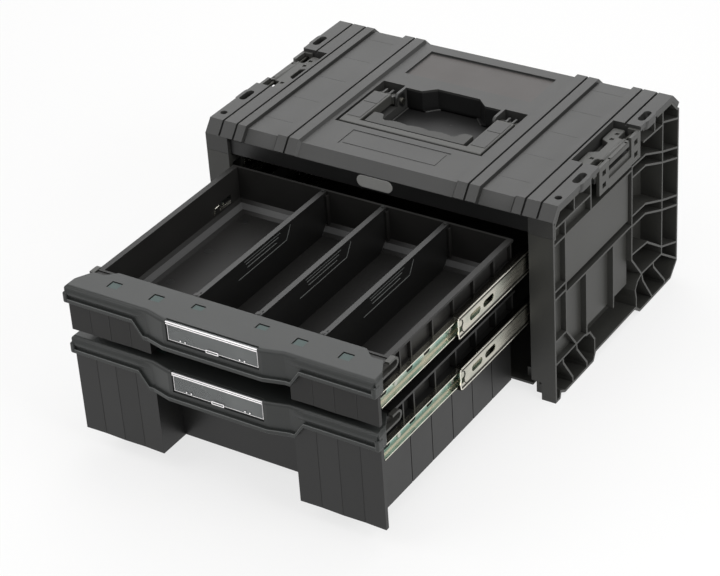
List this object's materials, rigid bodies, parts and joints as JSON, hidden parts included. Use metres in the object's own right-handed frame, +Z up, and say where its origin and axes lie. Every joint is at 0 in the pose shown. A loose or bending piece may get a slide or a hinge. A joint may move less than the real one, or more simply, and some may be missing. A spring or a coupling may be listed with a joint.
{
  "type": "drawer tool box",
  "caption": "Moulded plastic drawer tool box with removable dividers, ball-bearing slides, folding carry handle, stacking latches and ribbed sides.",
  "frame": {"origin": "centre of the cabinet's footprint, on the floor it stands on", "axes": "+X to the right seen from the front, +Y to the back, +Z up; the drawers open towards -Y and are stored open"},
  "size_m": [0.453, 0.615, 0.247],
  "materials": {
    "lid_plastic": "fine-textured injection moulding",
    "side_plastic": "fine-textured injection moulding",
    "header_plastic": "smooth black moulding",
    "tub_plastic": "smooth black moulding",
    "fascia_plastic": "satin moulding",
    "latch_plastic": "satin moulding",
    "grip_plastic": "soft moulded grip",
    "badge_plastic": "plain plate",
    "slide_steel": "zinc-plated, roll-formed",
    "ball_steel": "polished",
    "cage_steel": "stamped",
    "screw_steel": "zinc-plated",
    "label_clear": "clear moulded window"
  },
  "bodies": {
    "cabinet": {"top_cover": "lid_plastic", "left_side_panel": "side_plastic", "right_side_panel": "side_plastic", "rear_panel": "side_plastic", "base_panel": "side_plastic", "front_header": "header_plastic", "badge_plate": "badge_plastic", "cabinet_screws": "screw_steel", "cabinet_rail_screws": "screw_steel", "left_latch_frame": "latch_plastic", "right_latch_frame": "latch_plastic", "latch_pins": "screw_steel", "handle_pins": "screw_steel", "upper_left_cabinet_rail": "slide_steel", "upper_right_cabinet_rail": "slide_steel", "lower_left_cabinet_rail": "slide_steel", "lower_right_cabinet_rail": "slide_steel"},
    "handle": {"carry_handle": "latch_plastic", "handle_grip": "grip_plastic"},
    "left_latch": {"left_latch_lever": "latch_plastic"},
    "right_latch": {"right_latch_lever": "latch_plastic"},
    "upper_drawer": {"upper_drawer_tub": "tub_plastic", "upper_drawer_front": "fascia_plastic", "upper_drawer_catches": "latch_plastic", "upper_left_drawer_rail": "slide_steel", "upper_right_drawer_rail": "slide_steel", "upper_drawer_rail_screws": "screw_steel"},
    "upper_left_middle_slide": {"upper_left_middle_rail": "slide_steel"},
    "upper_right_middle_slide": {"upper_right_middle_rail": "slide_steel"},
    "upper_outer_cage": {"upper_outer_cages": "cage_steel", "upper_outer_balls": "ball_steel"},
    "upper_inner_cage": {"upper_inner_cages": "cage_steel", "upper_inner_balls": "ball_steel"},
    "upper_label": {"upper_label_window": "label_clear"},
    "lower_drawer": {"lower_drawer_tub": "tub_plastic", "lower_drawer_front": "fascia_plastic", "lower_drawer_catches": "latch_plastic", "lower_left_drawer_rail": "slide_steel", "lower_right_drawer_rail": "slide_steel", "lower_drawer_rail_screws": "screw_steel"},
    "lower_left_middle_slide": {"lower_left_middle_rail": "slide_steel"},
    "lower_right_middle_slide": {"lower_right_middle_rail": "slide_steel"},
    "lower_outer_cage": {"lower_outer_cages": "cage_steel", "lower_outer_balls": "ball_steel"},
    "lower_inner_cage": {"lower_inner_cages": "cage_steel", "lower_inner_balls": "ball_steel"},
    "lower_label": {"lower_label_window": "label_clear"},
    "divider_1_body": {"divider_1": "tub_plastic"},
    "divider_2_body": {"divider_2": "tub_plastic"},
    "divider_3_body": {"divider_3": "tub_plastic"}
  },
  "joints": [
    {"name": "handle_hinge", "type": "hinge", "parent": "cabinet", "child": "handle", "pos_m": [0, 0.0155, 0.231], "axis": [-1, 0, 0], "range_deg": [0, 90]},
    {"name": "left_latch_hinge", "type": "hinge", "parent": "cabinet", "child": "left_latch", "pos_m": [-0.217, 0.004, 0.238], "axis": [0, -1, 0], "range_deg": [0, 95]},
    {"name": "right_latch_hinge", "type": "hinge", "parent": "cabinet", "child": "right_latch", "pos_m": [0.217, 0.004, 0.238], "axis": [0, 1, 0], "range_deg": [0, 95]},
    {"name": "upper_drawer_slide", "type": "slide", "parent": "cabinet", "child": "upper_drawer", "axis": [0, -1, 0], "range_m": [-0.294, 0]},
    {"name": "upper_left_middle_slide_travel", "type": "slide", "parent": "cabinet", "child": "upper_left_middle_slide", "axis": [0, -1, 0], "range_m": [-0.147, 0]},
    {"name": "upper_right_middle_slide_travel", "type": "slide", "parent": "cabinet", "child": "upper_right_middle_slide", "axis": [0, -1, 0], "range_m": [-0.147, 0]},
    {"name": "upper_outer_cage_travel", "type": "slide", "parent": "cabinet", "child": "upper_outer_cage", "axis": [0, -1, 0], "range_m": [-0.0735, 0]},
    {"name": "upper_inner_cage_travel", "type": "slide", "parent": "cabinet", "child": "upper_inner_cage", "axis": [0, -1, 0], "range_m": [-0.2205, 0]},
    {"name": "upper_label_hinge", "type": "hinge", "parent": "upper_drawer", "child": "upper_label", "pos_m": [0, -0.4608, 0.2052], "axis": [-1, 0, 0], "range_deg": [0, 100]},
    {"name": "lower_drawer_slide", "type": "slide", "parent": "cabinet", "child": "lower_drawer", "axis": [0, -1, 0], "range_m": [-0.294, 0]},
    {"name": "lower_left_middle_slide_travel", "type": "slide", "parent": "cabinet", "child": "lower_left_middle_slide", "axis": [0, -1, 0], "range_m": [-0.147, 0]},
    {"name": "lower_right_middle_slide_travel", "type": "slide", "parent": "cabinet", "child": "lower_right_middle_slide", "axis": [0, -1, 0], "range_m": [-0.147, 0]},
    {"name": "lower_outer_cage_travel", "type": "slide", "parent": "cabinet", "child": "lower_outer_cage", "axis": [0, -1, 0], "range_m": [-0.0735, 0]},
    {"name": "lower_inner_cage_travel", "type": "slide", "parent": "cabinet", "child": "lower_inner_cage", "axis": [0, -1, 0], "range_m": [-0.2205, 0]},
    {"name": "lower_label_hinge", "type": "hinge", "parent": "lower_drawer", "child": "lower_label", "pos_m": [0, -0.4608, 0.1412], "axis": [-1, 0, 0], "range_deg": [0, 100]},
    {"name": "divider_1_lift", "type": "slide", "parent": "upper_drawer", "child": "divider_1_body", "axis": [0, 0, 1], "range_m": [0, 0.065]},
    {"name": "divider_2_lift", "type": "slide", "parent": "upper_drawer", "child": "divider_2_body", "axis": [0, 0, 1], "range_m": [0, 0.065]},
    {"name": "divider_3_lift", "type": "slide", "parent": "upper_drawer", "child": "divider_3_body", "axis": [0, 0, 1], "range_m": [0, 0.065]}
  ],
  "couplings": [
    {"joint": "upper_left_middle_slide_travel", "follows": "upper_drawer_slide", "ratio": 0.5},
    {"joint": "upper_right_middle_slide_travel", "follows": "upper_drawer_slide", "ratio": 0.5},
    {"joint": "upper_outer_cage_travel", "follows": "upper_drawer_slide", "ratio": 0.25},
    {"joint": "upper_inner_cage_travel", "follows": "upper_drawer_slide", "ratio": 0.75},
    {"joint": "lower_left_middle_slide_travel", "follows": "lower_drawer_slide", "ratio": 0.5},
    {"joint": "lower_right_middle_slide_travel", "follows": "lower_drawer_slide", "ratio": 0.5},
    {"joint": "lower_outer_cage_travel", "follows": "lower_drawer_slide", "ratio": 0.25},
    {"joint": "lower_inner_cage_travel", "follows": "lower_drawer_slide", "ratio": 0.75}
  ]
}
